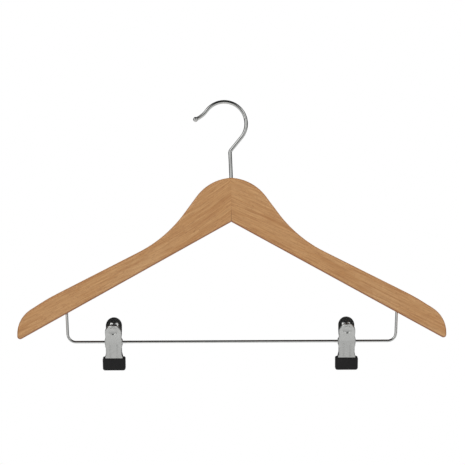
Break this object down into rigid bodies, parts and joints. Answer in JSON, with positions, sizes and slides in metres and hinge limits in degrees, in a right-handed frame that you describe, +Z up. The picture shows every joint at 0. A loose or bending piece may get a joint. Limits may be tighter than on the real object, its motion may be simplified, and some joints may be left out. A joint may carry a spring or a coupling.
{
  "type": "clothes hanger",
  "caption": "Flat wooden clothes hanger with a swivelling wire hook, a wire trouser bar, and sprung rubber-tipped clips that slide along the bar.",
  "frame": {"origin": "on the inside of the hook, at the top of its arc, where it rests on a rail", "axes": "+Z up, +X to the right of someone who faces the hanger's front, along its width, and -Y out of the front, through its thickness"},
  "size_m": [0.445, 0.0256, 0.2812],
  "materials": {
    "beech": "satin lacquer",
    "bright_wire": "bright chrome",
    "jaw_steel": "satin chrome",
    "spring_steel": "plain spring steel",
    "zinc_steel": "bright zinc",
    "black_rubber": "matt black"
  },
  "bodies": {
    "hook": {"hook": "bright_wire", "hook_nut": "zinc_steel"},
    "frame": {"left_arm": "beech", "right_arm": "beech", "hook_washer": "zinc_steel", "trouser_bar": "bright_wire"},
    "left_slider": {"left_pivot_sleeve": "zinc_steel"},
    "left_rear": {"left_rear_jaw": "jaw_steel", "left_rear_pad": "black_rubber", "left_spring": "spring_steel"},
    "left_front": {"left_front_jaw": "jaw_steel", "left_front_pad": "black_rubber"},
    "right_slider": {"right_pivot_sleeve": "zinc_steel"},
    "right_rear": {"right_rear_jaw": "jaw_steel", "right_rear_pad": "black_rubber", "right_spring": "spring_steel"},
    "right_front": {"right_front_jaw": "jaw_steel", "right_front_pad": "black_rubber"}
  },
  "joints": [
    {"name": "hook_swivel", "type": "hinge", "parent": "hook", "child": "frame", "pos_m": [0.0069, 0, -0.0771], "axis": [0, 0, 1], "continuous": true},
    {"name": "left_clip_slide", "type": "slide", "parent": "frame", "child": "left_slider", "axis": [1, 0, 0], "range_m": [-0.028, 0.1101]},
    {"name": "left_clip_swing", "type": "hinge", "parent": "left_slider", "child": "left_rear", "pos_m": [-0.1158, 0, -0.2472], "axis": [1, 0, 0], "continuous": true},
    {"name": "left_clip_open", "type": "hinge", "parent": "left_rear", "child": "left_front", "pos_m": [-0.1158, 0, -0.2472], "axis": [-1, 0, 0], "range_deg": [0, 36], "stiffness_Nm_per_rad": 0.3, "springref_deg": -45.84, "deforming": ["left_spring"]},
    {"name": "right_clip_slide", "type": "slide", "parent": "frame", "child": "right_slider", "axis": [1, 0, 0], "range_m": [-0.1067, 0.0315]},
    {"name": "right_clip_swing", "type": "hinge", "parent": "right_slider", "child": "right_rear", "pos_m": [0.1262, 0, -0.2472], "axis": [1, 0, 0], "continuous": true},
    {"name": "right_clip_open", "type": "hinge", "parent": "right_rear", "child": "right_front", "pos_m": [0.1262, 0, -0.2472], "axis": [-1, 0, 0], "range_deg": [0, 36], "stiffness_Nm_per_rad": 0.3, "springref_deg": -45.84, "deforming": ["right_spring"]}
  ]
}
